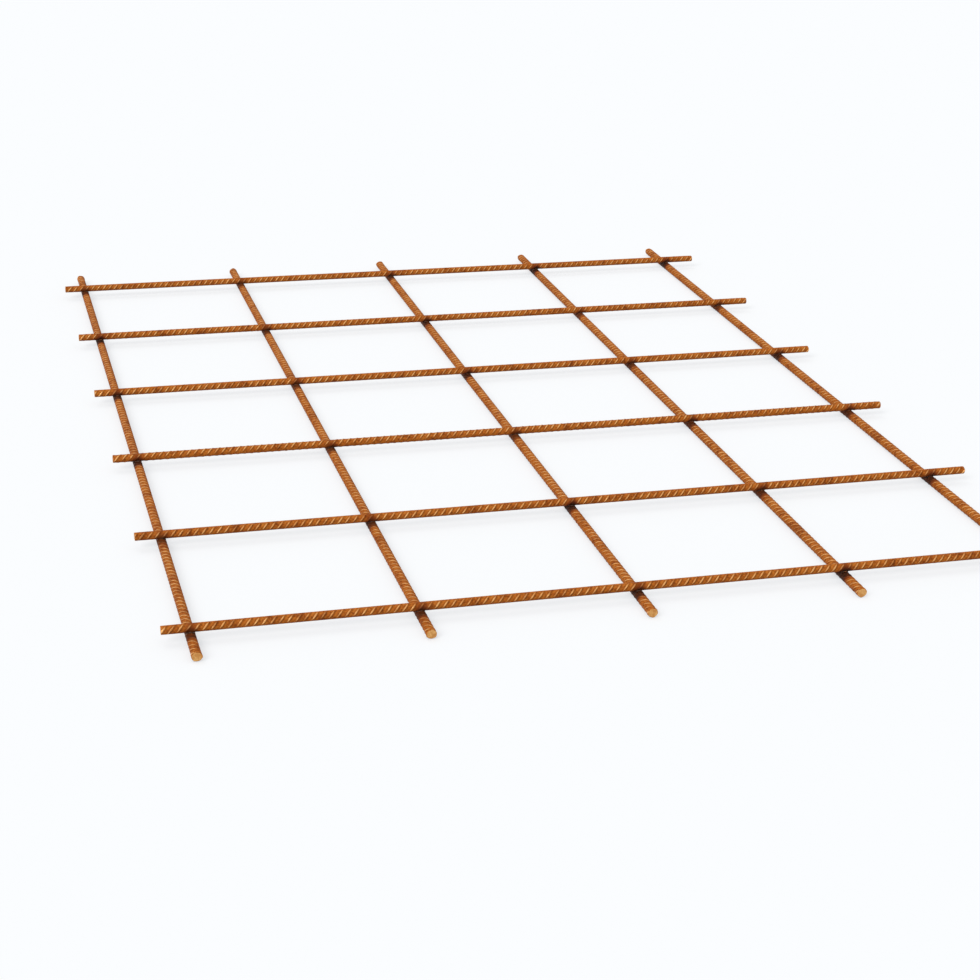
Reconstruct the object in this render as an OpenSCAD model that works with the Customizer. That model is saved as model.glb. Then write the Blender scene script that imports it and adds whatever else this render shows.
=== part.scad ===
// Welded wire mesh panel: straight steel bars laid in two layers at right
// angles and welded where they cross. The long bars run front to back along Y
// and lie on the ground, and the cross bars run left to right along X on top
// of them. Origin: bottom centre of the whole panel, on the ground. +Z is up.

/* [Bars] */
// Diameter of the long bars
long_d = 9; // [6:0.5:16]
// Diameter of the cross bars
cross_d = 8; // [6:0.5:16]

/* [Grid] */
// Number of long bars, which run front to back
long_bars = 5; // [2:1:8]
// Distance between neighbouring long bars, centre to centre
long_pitch = 200; // [100:1:300]
// Distance between the last two long bars at the right edge
edge_pitch = 187; // [100:1:300]
// Number of cross bars, which run left to right
cross_bars = 6; // [2:1:10]
// Distance between neighbouring cross bars, centre to centre
cross_pitch = 200; // [100:1:300]

/* [Free bar ends] */
// How far each long bar runs out past the front cross bar
front_end = 40; // [20:1:150]
// How far each long bar runs out past the back cross bar
back_end = 70; // [20:1:150]
// How far each cross bar runs out past the left long bar
left_end = 25; // [20:1:150]
// How far each cross bar runs out past the right long bar
right_end = 37; // [20:1:150]

/* [Welds] */
// How deep a cross bar is pressed into a long bar at each weld
weld_depth = 0.8; // [0.4:0.1:1.2]
// How far the squeezed-out steel stands out around that contact
weld_flash = 0.6; // [0.3:0.1:1]

/* [Hidden] */
bar_sides = 48;
thin_d = min(long_d, cross_d);

// Grid size between the outermost bar centres
grid_w = (long_bars - 2) * long_pitch + edge_pitch;
grid_l = (cross_bars - 1) * cross_pitch;

// Full length of a cross bar and of a long bar
cross_l = left_end + grid_w + right_end;
long_l = front_end + grid_l + back_end;

// Bar centres: the long bars across X, the cross bars along Y from the front
first_x = left_end - cross_l / 2;
first_y = front_end - long_l / 2;
long_x = [for (i = [0:long_bars - 1]) first_x + (i < long_bars - 1 ? i * long_pitch : grid_w)];
cross_y = [for (j = [0:cross_bars - 1]) first_y + j * cross_pitch];

// Heights of the two layers, and of the weld between them
long_z = long_d / 2;
cross_z = long_d - weld_depth + cross_d / 2;
weld_z = long_d - weld_depth / 2;
weld_h = thin_d / 2;

// The thinner bar sets the radius of the spot over which the pressed bars touch
contact_r = sqrt(thin_d * weld_depth);
weld_r = contact_r + weld_flash;

// One straight bar, sheared off square at both ends, standing along Z
module bar(length, d) {
    cylinder(h = length, d = d, center = true, $fn = bar_sides);
}

// Lower layer: the long bars
module long_bar(x) {
    translate([x, 0, long_z]) rotate([90, 0, 0]) bar(long_l, long_d);
}

// Upper layer: the cross bars, pressed down into the long bars
module cross_bar(y) {
    translate([0, y, cross_z]) rotate([0, 90, 0]) bar(cross_l, cross_d);
}

// Steel squeezed out between the two bars by one resistance weld
module weld(x, y) {
    translate([x, y, weld_z]) cylinder(h = weld_h, r = weld_r, center = true, $fn = bar_sides);
}

module mesh_panel() {
    color("sienna") union() {
        for (x = long_x) long_bar(x);
        for (y = cross_y) cross_bar(y);
        for (x = long_x, y = cross_y) weld(x, y);
    }
}

mesh_panel();
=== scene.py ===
# %% [markdown]
# # A sheet of welded steel mesh
# The object is one flat sheet of ribbed steel bars in two layers at right angles. The long
# bars lie underneath and run away from the viewer. The cross bars lie on them and run from
# left to right. Every crossing is welded. The bars are bare and have rusted in the rain.
#
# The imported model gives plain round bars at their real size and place. This script keeps
# those places and gives the sheet its looks: the rolled ribs, the squeezed-out welds, the
# sheared ends and the rust.

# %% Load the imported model
from typing import NamedTuple

import bmesh
import bpy
import numpy as np
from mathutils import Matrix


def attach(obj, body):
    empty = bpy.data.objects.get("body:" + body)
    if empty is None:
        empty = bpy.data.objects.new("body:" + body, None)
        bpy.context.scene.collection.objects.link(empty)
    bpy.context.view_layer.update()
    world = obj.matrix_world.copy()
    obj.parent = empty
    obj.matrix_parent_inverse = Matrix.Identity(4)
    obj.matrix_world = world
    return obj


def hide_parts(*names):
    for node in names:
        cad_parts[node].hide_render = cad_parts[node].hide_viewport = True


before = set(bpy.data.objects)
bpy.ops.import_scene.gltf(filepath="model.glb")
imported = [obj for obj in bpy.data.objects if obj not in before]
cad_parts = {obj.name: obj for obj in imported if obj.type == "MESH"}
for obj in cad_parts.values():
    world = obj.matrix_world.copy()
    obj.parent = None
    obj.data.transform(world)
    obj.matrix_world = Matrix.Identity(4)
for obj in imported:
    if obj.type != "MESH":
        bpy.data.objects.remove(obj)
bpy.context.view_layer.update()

MM = 0.001
NODE = "mesh_panel"
BODY = "root"

# %% [markdown]
# ## Camera
# The view comes first, because it decides how fine each detail has to be. The photograph
# looks down on the sheet at about 22 degrees, from the front left, through a long lens.
# These values were found by fitting the grid of the bars' centre lines to the photograph.
#
# A camera needs three directions: right, up and backwards. They are worked out here from a
# heading, a tilt and a small roll, and become the columns of its rotation.

# %% Camera
CAMERA_PLACE = (-0.5874, -2.0766, 0.7842)
HEADING = 15.98
TILT_DOWN = 22.34
ROLL = 1.73
IMAGE_SIZE = 980
FOCAL_PIXELS = 2050
SENSOR_MM = 36


def camera_axes(heading, tilt, roll):
    """Right, up and back directions. The view runs along +Y turned towards +X by the heading
    and tipped down by the tilt, and the roll turns right and up about it."""
    a, e, r = np.radians([heading, tilt, roll])
    ahead = np.array([np.sin(a) * np.cos(e), np.cos(a) * np.cos(e), -np.sin(e)])
    level = np.array([np.cos(a), -np.sin(a), 0.0])
    upright = np.cross(level, ahead)
    right = np.cos(r) * level + np.sin(r) * upright
    up = np.cos(r) * upright - np.sin(r) * level
    return right, up, -ahead


def make_camera():
    data = bpy.data.cameras.new("camera")
    data.sensor_width = SENSOR_MM
    data.lens = SENSOR_MM * FOCAL_PIXELS / IMAGE_SIZE
    camera = bpy.data.objects.new("camera", data)
    bpy.context.scene.collection.objects.link(camera)
    pose = np.eye(4)
    pose[:3, :3] = np.array(camera_axes(HEADING, TILT_DOWN, ROLL)).T
    pose[:3, 3] = CAMERA_PLACE
    camera.matrix_world = pose.T.tolist()
    bpy.context.scene.camera = camera
    return camera


camera = make_camera()
print("lens in mm:", round(camera.data.lens, 1))

# %% [markdown]
# ## Where the bars are
# The bars' places could be typed in again, but then the two models could drift apart.
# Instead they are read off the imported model. Every bar ends in a flat disc, and all the
# discs of one edge lie in one plane, so the points in that plane fall into one round
# cluster for each bar. The middle of a cluster is the bar's centre.

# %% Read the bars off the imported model
SAME_PLANE = 0.01 * MM
BETWEEN_BARS = 10 * MM


def node_points(name):
    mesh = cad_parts[name].data
    points = np.empty(len(mesh.vertices) * 3)
    mesh.vertices.foreach_get("co", points)
    return points.reshape(-1, 3)


def read_bars(points, along):
    """Centres of the discs in the lowest plane of one axis, sorted across the other one,
    then their height and radius. A wide gap parts one disc from the next."""
    across = 1 - along
    rim = points[points[:, along] < points[:, along].min() + SAME_PLANE]
    rim = rim[np.argsort(rim[:, across])]
    cuts = np.flatnonzero(np.diff(rim[:, across]) > BETWEEN_BARS) + 1
    discs = np.split(rim, cuts)
    centres = np.array([(disc.min(0) + disc.max(0)) / 2 for disc in discs])
    radius = (discs[0][:, 2].max() - discs[0][:, 2].min()) / 2
    return centres[:, across], centres[0, 2], radius


panel_points = node_points(NODE)
PANEL_LOW = panel_points.min(0)
PANEL_HIGH = panel_points.max(0)
LONG_X, LONG_Z, LONG_R = read_bars(panel_points, along=1)
CROSS_Y, CROSS_Z, CROSS_R = read_bars(panel_points, along=0)
print("long bars at x, mm:", np.round(LONG_X / MM, 1), "height", round(LONG_Z / MM, 2))
print("cross bars at y, mm:", np.round(CROSS_Y / MM, 1), "height", round(CROSS_Z / MM, 2))
print("radius of long and cross bars, mm:", round(LONG_R / MM, 3), round(CROSS_R / MM, 3))

# %% [markdown]
# ## The rolled ribs
# The rolling mill presses slanting ribs into the bar so that concrete can grip it. They
# follow a left-hand screw with three starts, and fade out along two opposite lines, where
# the rolls meet, so each rib is a crescent. The rows of crescents face the same way all
# along a bar, because the bar was straightened and not twisted before it was welded.
#
# They could be a bump texture, but then the outline and the ends of the bars would stay
# plain, so they are real relief. The trick is the grid. Its rings don't stand square to the
# bar but slant along the ribs, so one ring runs along the foot of a rib, the next along its
# flank and the next along its crest, and a few rings to each rib are enough.

# %% Rib sizes
CORE_IN = 0.05 * MM
RIB_H = 0.5 * MM
RIB_PITCH = 7.2 * MM
STARTS = 3
LEAD = STARTS * RIB_PITCH
AROUND = 36
# Where the rings lie on either side of a rib's middle, as shares of the pitch, and the
# share of the rib's height at each of them. The last ring lies halfway to the next rib.
RING_AT = np.array([-0.19, -0.125, -0.06, 0.06, 0.125, 0.19, 0.5])
RING_LIFT = np.array([0.0, 0.7, 1.0, 1.0, 0.7, 0.0, 0.0])
FOOT_AT = RING_AT[5]
NARROW = 0.45
UNEVEN_RIBS = 0.15
WANDER = 0.04 * MM
print("over the ribs, mm:", round(2 * (LONG_R - CORE_IN + RIB_H) / MM, 2))


def crescent(turn, fade):
    """1 where the ribs face and on the opposite side, 0 where the two rolls met. The cosine
    of the turn, raised to the fade: a higher fade gives a shorter crescent."""
    return np.abs(np.cos(2 * np.pi * turn)) ** fade


def ribbed_grid(layer, facing, start, random):
    """Points of an over-long ribbed bar along +X, as rings by columns by 3.
    Place along the bar: the rib's number, plus the ring's offset, which shrinks towards
    the ends of the crescent, times the pitch, plus the lead times the share of a turn.
    Distance from the axis: core radius, plus rib height times the ring's lift times the
    crescent."""
    ribs = int(np.ceil((layer.length + 2 * LEAD) / RIB_PITCH)) + 2
    turn = np.arange(AROUND) / AROUND
    size = crescent(turn, layer.fade)
    on_rib = np.abs(RING_AT[:, None]) <= FOOT_AT
    in_rib = RING_AT[:, None] * np.where(on_rib, NARROW + (1 - NARROW) * size, 1.0)
    first = -STARTS - 1
    number = np.arange(first, first + ribs)
    ring_at = start + (number[:, None, None] + in_rib) * RIB_PITCH
    along = ring_at.reshape(-1, AROUND) + LEAD * turn
    strength = 1 - UNEVEN_RIBS * random.random((ribs, 1))
    lift = (RING_LIFT * strength).ravel()[:, None] * size
    away = layer.radius - CORE_IN + RIB_H * lift - WANDER * random.random(lift.shape)
    angle = 2 * np.pi * turn + facing
    return np.stack([along, away * np.sin(angle), away * np.cos(angle)], axis=-1)


# %% [markdown]
# The faces join each column to the next one. After one turn the slanted rings have moved
# on by three ribs, so the last column joins the first one three ribs further along.

# %% Faces of the slanted grid
def screw_faces(rings):
    """Four corners of each face, turning so that the faces point outwards. The last column
    joins the first one as many rings further on as the screw gains in one turn."""
    gain = STARTS * len(RING_AT)
    ring, column = np.meshgrid(np.arange(rings - 1), np.arange(AROUND), indexing="ij")
    wraps = column == AROUND - 1
    next_ring = ring + np.where(wraps, gain, 0)
    next_column = np.where(wraps, 0, column + 1)
    inside = next_ring + 1 < rings
    corners = [ring * AROUND + column, next_ring * AROUND + next_column,
               (next_ring + 1) * AROUND + next_column, (ring + 1) * AROUND + column]
    return np.stack([corner[inside] for corner in corners], axis=-1)


# %% [markdown]
# ## Sheared ends
# The slanted grid ends in a ragged spiral, so each bar is grown too long and cut with a
# plane at both ends, as the real bar is sheared from a longer one. The shear doesn't cut
# quite square and rolls the edge over, so the plane is tipped a little and the rim is
# drawn in. The blades also squash the last few millimetres, which get lower and wider.

# %% Cut a bar to its length
ROLLED_EDGE = 0.35 * MM
ROLLED_SHARE = 0.94
TIP = 0.03
SQUASH_REACH = 6 * MM
SQUASH_WIDER = 0.07
SQUASH_LOWER = 0.04
SIDE, END = 0, 1


def cut_end(work, at, outwards, random):
    """Cuts square to the bar's axis but for a small tip, draws the rim in while it runs on
    to the end, and closes it with one flat face."""
    tip_y, tip_z = TIP * (random.random(2) - 0.5)
    normal = (outwards, tip_y, tip_z)
    middle = (at - outwards * ROLLED_EDGE, 0, 0)
    parts = work.verts[:] + work.edges[:] + work.faces[:]
    cut = bmesh.ops.bisect_plane(work, geom=parts, plane_co=middle, plane_no=normal,
                                 clear_outer=True, dist=1e-7)
    edge = [part for part in cut["geom_cut"] if isinstance(part, bmesh.types.BMEdge)]
    grown = bmesh.ops.extrude_edge_only(work, edges=edge)["geom"]
    for part in grown:
        if isinstance(part, bmesh.types.BMVert):
            part.co.x += outwards * ROLLED_EDGE
            part.co.yz = part.co.yz * ROLLED_SHARE
    rim = [part for part in grown if isinstance(part, bmesh.types.BMEdge)]
    for face in bmesh.ops.edgeloop_fill(work, edges=rim)["faces"]:
        face.material_index = END


def squash_ends(points, length):
    """Scales the sideways and the upright place by shares that fade as a bell curve of
    the distance to the nearer end."""
    to_end = np.minimum(points[..., 0], length - points[..., 0])
    share = np.exp(-(to_end / SQUASH_REACH) ** 2)
    points[..., 1] *= 1 + SQUASH_WIDER * share
    points[..., 2] *= 1 - SQUASH_LOWER * share


def trimmed_bar(name, layer, facing, start, random):
    """A closed ribbed bar along +X, from 0 to its length."""
    grid = ribbed_grid(layer, facing, start, random)
    squash_ends(grid, layer.length)
    mesh = bpy.data.meshes.new(name)
    mesh.from_pydata(grid.reshape(-1, 3), [], screw_faces(len(grid)).tolist())
    work = bmesh.new()
    work.from_mesh(mesh)
    cut_end(work, 0.0, -1, random)
    cut_end(work, layer.length, 1, random)
    unused = [vert for vert in work.verts if not vert.link_faces]
    bmesh.ops.delete(work, geom=unused, context="VERTS")
    bmesh.ops.recalc_face_normals(work, faces=work.faces[:])
    work.to_mesh(mesh)
    work.free()
    return mesh


# %% [markdown]
# ## Pressed and burnt at the welds
# Every crossing was squeezed between two copper electrodes while a current ran through it.
# The electrode flattens the ribs on the outer side of each bar and leaves them smooth, and
# the heat darkens the steel around the joint, which is also painted shade where the bars
# cross. The flattening is a move of the points.
#
# For the colours each bar gets attributes that its material reads: how high a point lies on
# a rib, how close it is to a rib's foot, how close to a weld, how far the electrode pressed
# it down, and how far it lies round to the bar's underside, which is darkened there as
# painted shade. None of them may be called just "heat", because Cycles keeps that name for
# smoke and would read zero.

# %% Flatten the ribs and measure the attributes
PRESS_HALF = 4.5 * MM
PRESS_IN = 0.2 * MM
PRESS_EDGE = 0.25
FOOT_WIDTH = 0.08


def read_points(mesh):
    points = np.empty(len(mesh.vertices) * 3)
    mesh.vertices.foreach_get("co", points)
    return points.reshape(-1, 3)


def write_attribute(mesh, name, values):
    mesh.attributes.new(name, "FLOAT", "POINT").data.foreach_set("value", values)


def press_flat(points, layer):
    """Limits the height above the axis, on the outer side, to just under the radius, plus
    a slope that starts where the electrode ended. Gives back how much each point sank, as
    a share of the rib height."""
    nearest = np.abs(points[:, 0, None] - layer.welds).min(axis=1)
    limit = layer.radius - PRESS_IN + PRESS_EDGE * np.maximum(nearest - PRESS_HALF, 0)
    height = layer.outer * points[:, 2]
    points[:, 2] = layer.outer * np.minimum(height, limit)
    return np.clip((height - limit) / RIB_H, 0, 1)


def rib_share(points, layer):
    """0 on the core and 1 on the crest, from the distance to the axis."""
    away = np.hypot(points[:, 1], points[:, 2])
    return np.clip((away - layer.radius + CORE_IN) / RIB_H, 0, 1)


def foot_share(points, layer, facing, start):
    """1 at the foot of a rib, falling off as a bell curve on both sides of it. The place
    along the bar less the lead times the turn, in pitches, is whole at a rib's middle."""
    turn = (np.arctan2(points[:, 1], points[:, 2]) - facing) / (2 * np.pi)
    number = (points[:, 0] - start - LEAD * turn) / RIB_PITCH
    from_middle = np.abs(number - np.round(number))
    size = crescent(turn, layer.fade)
    from_foot = from_middle - FOOT_AT * (NARROW + (1 - NARROW) * size)
    return size * np.exp(-(from_foot / FOOT_WIDTH) ** 2)


def weld_heat_and_shade(points, layer):
    """Falls off from 1 as a bell curve of the distance to the nearest weld, which lies on
    the side of the bar that the electrode didn't touch. The rust darkens by it, for heat tint
    and for painted shade where the bars cross."""
    along = points[:, 0, None] - layer.welds
    upright = points[:, 2, None] + layer.outer * layer.radius
    away = np.sqrt(along ** 2 + points[:, 1, None] ** 2 + upright ** 2)
    return np.exp(-(away.min(axis=1) / layer.heat_reach) ** 2)


# %% [markdown]
# ## Colours
# Colours are written as they look on a screen, from 0 to 255. Blender computes with linear
# light, so a small function changes them. Two more helpers keep the materials short: one
# adds a node and fills its inputs, and one mixes two colours.

# %% Node helpers
def screen(red, green, blue):
    """Linear colour from a screen colour, by the two pieces of the sRGB curve."""
    share = np.array([red, green, blue]) / 255
    linear = np.where(share <= 0.04045, share / 12.92, ((share + 0.055) / 1.055) ** 2.4)
    return (*linear.tolist(), 1.0)


def add(tree, kind, inputs, **settings):
    """A new node. An input that is a socket gets linked, and any other one is written."""
    node = tree.nodes.new(kind)
    for key, value in settings.items():
        setattr(node, key, value)
    for key, value in inputs.items():
        if isinstance(value, bpy.types.NodeSocket):
            tree.links.new(value, node.inputs[key])
        else:
            node.inputs[key].default_value = value
    return node


def mix(tree, share, first, second, blend="MIX"):
    MIX_SHARE, MIX_FIRST, MIX_SECOND, MIX_RESULT = 0, 6, 7, 2
    inputs = {MIX_SHARE: share, MIX_FIRST: first, MIX_SECOND: second}
    node = add(tree, "ShaderNodeMix", inputs, data_type="RGBA", blend_type=blend)
    return node.outputs[MIX_RESULT]


def grain(tree, place, size, detail=4.0):
    """Noise between about 0.3 and 0.7, whose lumps are about one size across."""
    inputs = {"Vector": place, "Scale": 1 / size, "Detail": detail, "Roughness": 0.6}
    return add(tree, "ShaderNodeTexNoise", inputs).outputs["Fac"]


def between(tree, value, low, high, to_low=0.0, to_high=1.0):
    """Stretches the values from low to high over a new range, and holds them there."""
    inputs = {"Value": value, "From Min": low, "From Max": high, "To Min": to_low, "To Max": to_high}
    return add(tree, "ShaderNodeMapRange", inputs).outputs["Result"]


def product(tree, first, second):
    return add(tree, "ShaderNodeMath", {0: first, 1: second}, operation="MULTIPLY").outputs[0]


def empty_material(name):
    material = bpy.data.materials.new(name)
    material.use_nodes = True
    material.node_tree.nodes.clear()
    return material


def object_place(tree):
    return add(tree, "ShaderNodeTexCoord", {}).outputs["Object"]


def finish_surface(tree, base, roughness, metallic, bump_height, bump_depth, specular=0.5):
    """Bump, shader and output, joined up."""
    bump = add(tree, "ShaderNodeBump", {"Height": bump_height, "Distance": bump_depth})
    inputs = {"Base Color": base, "Roughness": roughness, "Metallic": metallic,
              "Specular IOR Level": specular, "Normal": bump.outputs["Normal"]}
    shader = add(tree, "ShaderNodeBsdfPrincipled", inputs)
    add(tree, "ShaderNodeOutputMaterial", {"Surface": shader.outputs["BSDF"]})


# %% [markdown]
# ## Rust
# The bars carry a thin, even coat of orange-brown rust. It varies at three scales: broad
# patches where the bars lay wet for longer, blotches of a few millimetres, and a fine
# powdery grain. Each bar also has a tone of its own, as it came off another coil. The
# crests of the ribs are rubbed by handling, so they are paler and smoother and let a
# little bare steel through, and their pale colour is also a painted highlight. The feet of
# the ribs hold dark rust with painted shade, the underside of each bar is darkened as
# painted shade, the electrode marks are smooth and brown, and near a weld the coat is
# burnt and darkened further as painted shade where the bars cross.

# %% Rust on the bars, with painted shade and highlights
# The dark rust also darkens the feet of the ribs and the undersides as painted shade.
DARK_RUST_AND_SHADE = screen(98, 44, 12)
RUST_DEEP = screen(172, 86, 26)
RUST_MIDDLE = screen(193, 102, 31)
RUST_LIGHT = screen(218, 136, 52)
# Pale rubbed steel, also used as a painted highlight on the rib crests.
RUBBED_AND_HIGHLIGHT = screen(255, 192, 120)
# Heat tint and burn, also used as painted shade where the bars cross.
HEAT_TINT_AND_SHADE = screen(132, 54, 16)
BURN_AND_SHADE = screen(50, 32, 20)
PRESSED = screen(140, 84, 44)
PATCH, BLOTCH, POWDER = 140 * MM, 12 * MM, 2 * MM
BURN_CHANGE = 90 * MM


def attribute(tree, name):
    return add(tree, "ShaderNodeAttribute", {}, attribute_name=name).outputs["Fac"]


def make_rust():
    material = empty_material("rust")
    tree = material.node_tree
    place = object_place(tree)
    rib, foot, under, heat, pressed, tone = (
        attribute(tree, name) for name in ("rib", "foot", "under", "weld_heat_and_shade", "pressed", "tone"))
    patches = between(tree, grain(tree, place, PATCH, 2.0), 0.35, 0.65)
    blotches = between(tree, grain(tree, place, BLOTCH), 0.35, 0.65)
    powder = between(tree, grain(tree, place, POWDER, 6.0), 0.35, 0.65)
    base = mix(tree, product(tree, tone, patches), RUST_MIDDLE, RUST_DEEP)
    base = mix(tree, product(tree, blotches, 0.5), base, RUST_LIGHT)
    base = mix(tree, between(tree, blotches, 0.4, 0.0, 0.0, 0.4), base, DARK_RUST_AND_SHADE)
    base = mix(tree, between(tree, powder, 0.5, 0.0, 0.0, 0.6), base, DARK_RUST_AND_SHADE)
    base = mix(tree, between(tree, powder, 0.6, 1.0, 0.0, 0.6), base, RUST_LIGHT)
    # Painted shade: the underside of each bar is darkened.
    base = mix(tree, product(tree, under, 0.3), base, DARK_RUST_AND_SHADE)
    # Dark rust and painted shade along the feet of the ribs.
    base = mix(tree, product(tree, foot, 0.5), base, DARK_RUST_AND_SHADE)
    # Paler, smoother crests: rubbing wear and a painted highlight.
    wear_and_highlight = product(tree, between(tree, rib, 0.6, 0.84), between(tree, blotches, 0.1, 0.7, 0.35, 1.0))
    base = mix(tree, wear_and_highlight, base, RUBBED_AND_HIGHLIGHT)
    base = mix(tree, pressed, base, PRESSED)
    burn = between(tree, grain(tree, place, BURN_CHANGE, 1.0), 0.4, 0.6, 0.6, 1.0)
    patchy_burn = product(tree, burn, between(tree, powder, -0.8, 0.6))
    # Heat tint and burn near the welds, partly painted shade where the bars cross.
    base = mix(tree, product(tree, between(tree, heat, 0.03, 0.3), burn), base, HEAT_TINT_AND_SHADE)
    base = mix(tree, product(tree, between(tree, heat, 0.15, 0.45), patchy_burn), base, BURN_AND_SHADE)
    roughness = between(tree, wear_and_highlight, 0.0, 1.0, 0.62, 0.32)
    metallic = between(tree, wear_and_highlight, 0.0, 1.0, 0.1, 0.6)
    finish_surface(tree, base, roughness, metallic, powder, 0.12 * MM, specular=0.08)
    return material


rust = make_rust()
print("rust nodes:", len(rust.node_tree.nodes))

# %% [markdown]
# ## The cut faces
# The sheared faces are younger than the bars' skin, so they are a paler tan. The blade
# leaves fine streaks in the direction of its stroke, straight down, and one part of the
# face is torn and rougher. Stretching the noise along Z makes the streaks.

# %% Sheared end faces
CUT_TAN = screen(250, 194, 114)
CUT_DEEP = screen(208, 132, 54)
STREAK = 0.35 * MM
STREAK_STRETCH = 0.12


def make_cut_face():
    material = empty_material("cut_face")
    tree = material.node_tree
    place = object_place(tree)
    stretched = add(tree, "ShaderNodeMapping", {"Vector": place, "Scale": (1, 1, STREAK_STRETCH)})
    streaks = between(tree, grain(tree, stretched.outputs["Vector"], STREAK, 2.0), 0.35, 0.65)
    torn = between(tree, grain(tree, place, 4 * MM), 0.42, 0.58)
    base = mix(tree, product(tree, streaks, 0.6), CUT_TAN, CUT_DEEP)
    base = mix(tree, product(tree, torn, 0.6), base, CUT_DEEP)
    roughness = between(tree, torn, 0.0, 1.0, 0.38, 0.6)
    finish_surface(tree, base, roughness, 0.15, streaks, 0.08 * MM)
    return material


cut_face = make_cut_face()

# %% [markdown]
# ## Put a bar in place
# A bar was made along +X from 0. Turning it a quarter turn about the vertical sends X to Y
# and Y to minus X, which keeps the hand of the screw. Its place goes into its points, and
# the object itself stays at the origin.

# %% Make one finished bar
FACING_SPREAD = np.radians(20)


class Layer(NamedTuple):
    """What the bars of one layer share. The ribs face an angle from the vertical, and their
    crescents fade by a power. The welds are measured from the bar's start. Outer is 1 where
    the electrodes touched the top of the bars, and -1 where they touched the underside."""
    radius: float
    length: float
    turned: bool
    facing: float
    fade: float
    welds: np.ndarray
    outer: int
    heat_reach: float


def shade_round(mesh):
    """Smooth shading all along the bar, and flat shading on the two end faces."""
    slots = np.empty(len(mesh.polygons), dtype=np.int32)
    mesh.polygons.foreach_get("material_index", slots)
    mesh.polygons.foreach_set("use_smooth", slots == SIDE)


def make_bar(name, start, layer, random):
    """A bar of a layer, from its start point along X, or along Y when turned. Its ribs face
    the layer's angle, give or take the spread."""
    facing = layer.facing + FACING_SPREAD * (2 * random.random() - 1)
    first_rib = RIB_PITCH * random.random()
    mesh = trimmed_bar(name, layer, facing, first_rib, random)
    points = read_points(mesh)
    write_attribute(mesh, "pressed", press_flat(points, layer))
    write_attribute(mesh, "rib", rib_share(points, layer))
    # Nearness to a rib's foot, for dark rust and painted shade there.
    write_attribute(mesh, "foot", foot_share(points, layer, facing, first_rib))
    # How far round to the underside a point lies, for painted shade there.
    write_attribute(mesh, "under", np.clip(-points[:, 2] / layer.radius, 0, 1))
    # Nearness to a weld, for heat tint and painted shade there.
    write_attribute(mesh, "weld_heat_and_shade", weld_heat_and_shade(points, layer))
    write_attribute(mesh, "tone", np.full(len(points), random.random()))
    if layer.turned:
        points = np.stack([-points[:, 1], points[:, 0], points[:, 2]], axis=-1)
    mesh.vertices.foreach_set("co", (points + start).ravel())
    shade_round(mesh)
    mesh.materials.append(rust)
    mesh.materials.append(cut_face)
    bar = bpy.data.objects.new(name, mesh)
    bpy.context.scene.collection.objects.link(bar)
    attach(bar, BODY)
    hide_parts(NODE)
    return bar


def triangles(mesh):
    """A face with n corners makes n - 2 triangles."""
    return len(mesh.loops) - 2 * len(mesh.polygons)


# %% [markdown]
# ## The two layers of bars
# The five long bars lie underneath. Their electrode marks are on the underside. The six
# cross bars lie on top of them, with the marks on their upper side. Each bar draws its
# own random numbers, so its ribs start elsewhere and no two bars look alike.

# %% Long bars
random = np.random.default_rng(8)
START_X, START_Y = PANEL_LOW[:2]
PANEL_WIDTH, PANEL_LENGTH = (PANEL_HIGH - PANEL_LOW)[:2]
long_layer = Layer(radius=LONG_R, length=PANEL_LENGTH, turned=True, facing=np.radians(25),
                   fade=0.6, welds=CROSS_Y - START_Y, outer=-1, heat_reach=11.5 * MM)
for count, x in enumerate(LONG_X, start=1):
    bar = make_bar(f"long_bar_{count}", (x, START_Y, LONG_Z), long_layer, random)
    print(bar.name, "triangles:", triangles(bar.data))

# %% Cross bars
cross_layer = Layer(radius=CROSS_R, length=PANEL_WIDTH, turned=False, facing=np.radians(-58),
                    fade=0.95, welds=LONG_X - START_X, outer=1, heat_reach=6 * MM)
for count, y in enumerate(CROSS_Y, start=1):
    bar = make_bar(f"cross_bar_{count}", (START_X, y, CROSS_Z), cross_layer, random)
    print(bar.name, "triangles:", triangles(bar.data))

# %% [markdown]
# ## Squeezed-out steel at the welds
# When two round bars are pressed into each other while they are soft, the steel between
# them has to go somewhere, so it swells out into a lumpy collar round the contact. The
# collar is a closed tube. Its path goes once round the contact, and at each point it lies
# halfway between the top of the lower bar and the bottom of the upper one, which gives it
# the shape of a saddle. The tube's radius swells and shrinks along the way.

# %% Weld collars
COLLAR_R = 2.6 * MM
COLLAR_TUBE = 0.8 * MM
LUMPS = 0.22
LUMP_WAVES = np.arange(2, 7)
PATH_STEPS = 48
TUBE_STEPS = 12


def lumpy(angle, count, random):
    """One plus a sum of waves with random shifts, of 2 to 6 lumps to the turn."""
    shift = 2 * np.pi * random.random((count, 1, len(LUMP_WAVES)))
    waves = np.sin(angle[None, :, None] * LUMP_WAVES + shift)
    return 1 + LUMPS * waves.mean(axis=-1)


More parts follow.
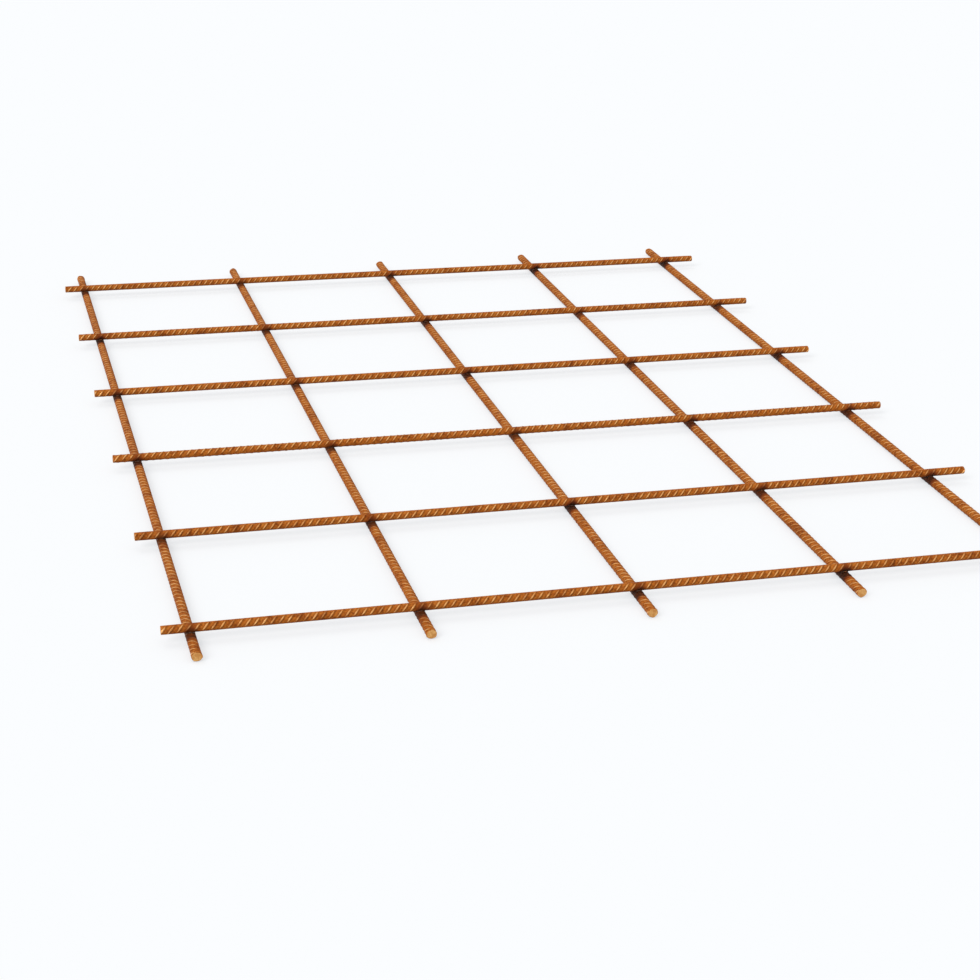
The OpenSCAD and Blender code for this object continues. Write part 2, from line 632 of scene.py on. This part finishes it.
def collar_points(centres, random):
    """Points as welds by path steps by tube steps by 3. Path: a circle of lumpy radius at
    the mean of the lower bar's top, which drops as a circle with x, and the upper bar's
    bottom, which climbs as a circle with y. Tube: a circle round the path, in the plane
    of the vertical and the direction away from the weld."""
    turn = 2 * np.pi * np.arange(PATH_STEPS) / PATH_STEPS
    ring = COLLAR_R * lumpy(turn, len(centres), random)
    across, along = ring * np.cos(turn), ring * np.sin(turn)
    top_of_lower = LONG_Z + np.sqrt((LONG_R - CORE_IN) ** 2 - across ** 2)
    bottom_of_upper = CROSS_Z - np.sqrt((CROSS_R - CORE_IN) ** 2 - along ** 2)
    height = (top_of_lower + bottom_of_upper) / 2
    tube = COLLAR_TUBE * lumpy(turn, len(centres), random)[..., None]
    tube_turn = 2 * np.pi * np.arange(TUBE_STEPS) / TUBE_STEPS
    away = ring[..., None] + tube * np.cos(tube_turn)
    x = centres[:, 0, None, None] + away * np.cos(turn)[:, None]
    y = centres[:, 1, None, None] + away * np.sin(turn)[:, None]
    z = height[..., None] + tube * np.sin(tube_turn)
    return np.stack([x, y, z], axis=-1)


def tube_faces(count):
    """Each face joins a step of the path and of the tube to the next, and both wrap."""
    weld, step, side = np.meshgrid(np.arange(count), np.arange(PATH_STEPS),
                                   np.arange(TUBE_STEPS), indexing="ij")
    next_step = (step + 1) % PATH_STEPS
    next_side = (side + 1) % TUBE_STEPS

    def corner(step, side):
        return (weld * PATH_STEPS + step) * TUBE_STEPS + side

    corners = [corner(step, side), corner(next_step, side),
               corner(next_step, next_side), corner(step, next_side)]
    return np.stack(corners, axis=-1).reshape(-1, 4)


# %% [markdown]
# The collars were the hottest steel, so they are darker than the bars, brown to blue-grey,
# with a blistered skin.

# %% Burnt steel
BLISTER_BROWN = screen(96, 56, 28)
BLISTER_GREY = screen(58, 46, 40)


def make_burnt_steel():
    material = empty_material("burnt_steel")
    tree = material.node_tree
    place = object_place(tree)
    blisters = between(tree, grain(tree, place, 1.6 * MM), 0.35, 0.65)
    base = mix(tree, blisters, BLISTER_GREY, BLISTER_BROWN)
    dust = between(tree, grain(tree, place, 5 * MM), 0.5, 0.7, 0.0, 0.6)
    base = mix(tree, dust, base, RUST_MIDDLE)
    roughness = between(tree, blisters, 0.0, 1.0, 0.4, 0.65)
    finish_surface(tree, base, roughness, 0.1, blisters, 0.2 * MM)
    return material


def make_collars(random):
    centres = np.stack(np.meshgrid(LONG_X, CROSS_Y, indexing="ij"), axis=-1).reshape(-1, 2)
    points = collar_points(centres, random)
    mesh = bpy.data.meshes.new("weld_collars")
    mesh.from_pydata(points.reshape(-1, 3), [], tube_faces(len(centres)).tolist())
    mesh.polygons.foreach_set("use_smooth", np.ones(len(mesh.polygons), dtype=bool))
    mesh.materials.append(make_burnt_steel())
    collars = bpy.data.objects.new("weld_collars", mesh)
    bpy.context.scene.collection.objects.link(collars)
    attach(collars, BODY)
    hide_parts(NODE)
    return collars, len(centres)


collars, weld_count = make_collars(random)
print("welds:", weld_count, "triangles:", triangles(collars.data))

# %% [markdown]
# ## Light
# The highlights in the photograph are short bright strokes on the near side of the cross
# bars and bright arcs over the top of the long ones. A sun lamp high in front and to the
# left makes the strokes, and a second one high behind draws the arcs. A bright, even sky
# fills the rest, which keeps the shadows soft. Sun lamps are used because their light is
# the same all over the sheet. Together the three light a level surface at a strength of
# about 1, so that a colour renders about as it is written.

# %% World and lamps
SKY = 0.6
FRONT_FROM = (-0.75, -0.6, 0.75)
FRONT_STRENGTH = 1.35
BACK_FROM = (-0.3, 0.5, 0.9)
BACK_STRENGTH = 0.3
SOFTNESS = 30


def make_world():
    world = bpy.data.worlds.new("sky")
    world.use_nodes = True
    tree = world.node_tree
    tree.nodes.clear()
    rays = add(tree, "ShaderNodeLightPath", {})
    strength = between(tree, rays.outputs["Is Camera Ray"], 0.0, 1.0, SKY, 1.0)
    sky = add(tree, "ShaderNodeBackground", {"Color": (1, 1, 1, 1), "Strength": strength})
    add(tree, "ShaderNodeOutputWorld", {"Surface": sky.outputs[0]})
    bpy.context.scene.world = world


def make_sun(name, light_from, strength):
    """A sun lamp whose back points to where its light comes from. Gives back the
    brightness that it adds to a level white surface: strength times height over pi."""
    data = bpy.data.lights.new(name, "SUN")
    data.energy = strength
    data.angle = np.radians(SOFTNESS)
    lamp = bpy.data.objects.new(name, data)
    bpy.context.scene.collection.objects.link(lamp)
    back = np.array(light_from) / np.linalg.norm(light_from)
    side = np.cross((0, 0, 1), back)
    side = side / np.linalg.norm(side)
    pose = np.eye(4)
    pose[:3, :3] = np.array([side, np.cross(back, side), back]).T
    lamp.matrix_world = pose.T.tolist()
    return strength * back[2] / np.pi


make_world()
light_level = SKY + make_sun("front_light", FRONT_FROM, FRONT_STRENGTH)
light_level = light_level + make_sun("back_light", BACK_FROM, BACK_STRENGTH)
bpy.context.scene.view_settings.view_transform = "Standard"
print("light on a level surface:", round(light_level, 3))

# %% [markdown]
# ## Floor
# The photograph has a plain, nearly white background. The floor is a plain grey sheet that
# takes the panel's soft shadow. To the camera and in reflections it also glows, by just as
# much as the grey falls short of the background's colour, so no more light has to fall on
# the steel. It lies just under the ribs of the lower bars.

# %% Floor
FLOOR_HALF = 30.0
FLOOR_GREY = 0.4
BACKGROUND = screen(251, 253, 255)


def make_floor_material():
    material = empty_material("floor")
    tree = material.node_tree
    rays = add(tree, "ShaderNodeLightPath", {})
    seen = rays.outputs["Is Camera Ray"]
    for kind in ("Is Glossy Ray", "Is Transmission Ray"):
        seen = add(tree, "ShaderNodeMath", {0: seen, 1: rays.outputs[kind]}, operation="MAXIMUM").outputs[0]
    missing = [max(part - FLOOR_GREY * light_level, 0) for part in BACKGROUND[:3]]
    matt = add(tree, "ShaderNodeBsdfDiffuse", {"Color": (FLOOR_GREY, FLOOR_GREY, FLOOR_GREY, 1)})
    glow = add(tree, "ShaderNodeEmission", {"Color": (*missing, 1), "Strength": seen})
    both = add(tree, "ShaderNodeAddShader", {0: matt.outputs[0], 1: glow.outputs[0]})
    add(tree, "ShaderNodeOutputMaterial", {"Surface": both.outputs[0]})
    return material


def make_floor():
    height = LONG_Z - LONG_R + CORE_IN - RIB_H
    corners = [(-FLOOR_HALF, -FLOOR_HALF, height), (FLOOR_HALF, -FLOOR_HALF, height),
               (FLOOR_HALF, FLOOR_HALF, height), (-FLOOR_HALF, FLOOR_HALF, height)]
    mesh = bpy.data.meshes.new("floor")
    mesh.from_pydata(corners, [], [(0, 1, 2, 3)])
    mesh.materials.append(make_floor_material())
    floor = bpy.data.objects.new("floor", mesh)
    bpy.context.scene.collection.objects.link(floor)
    return height


print("floor height, mm:", round(make_floor() / MM, 2))
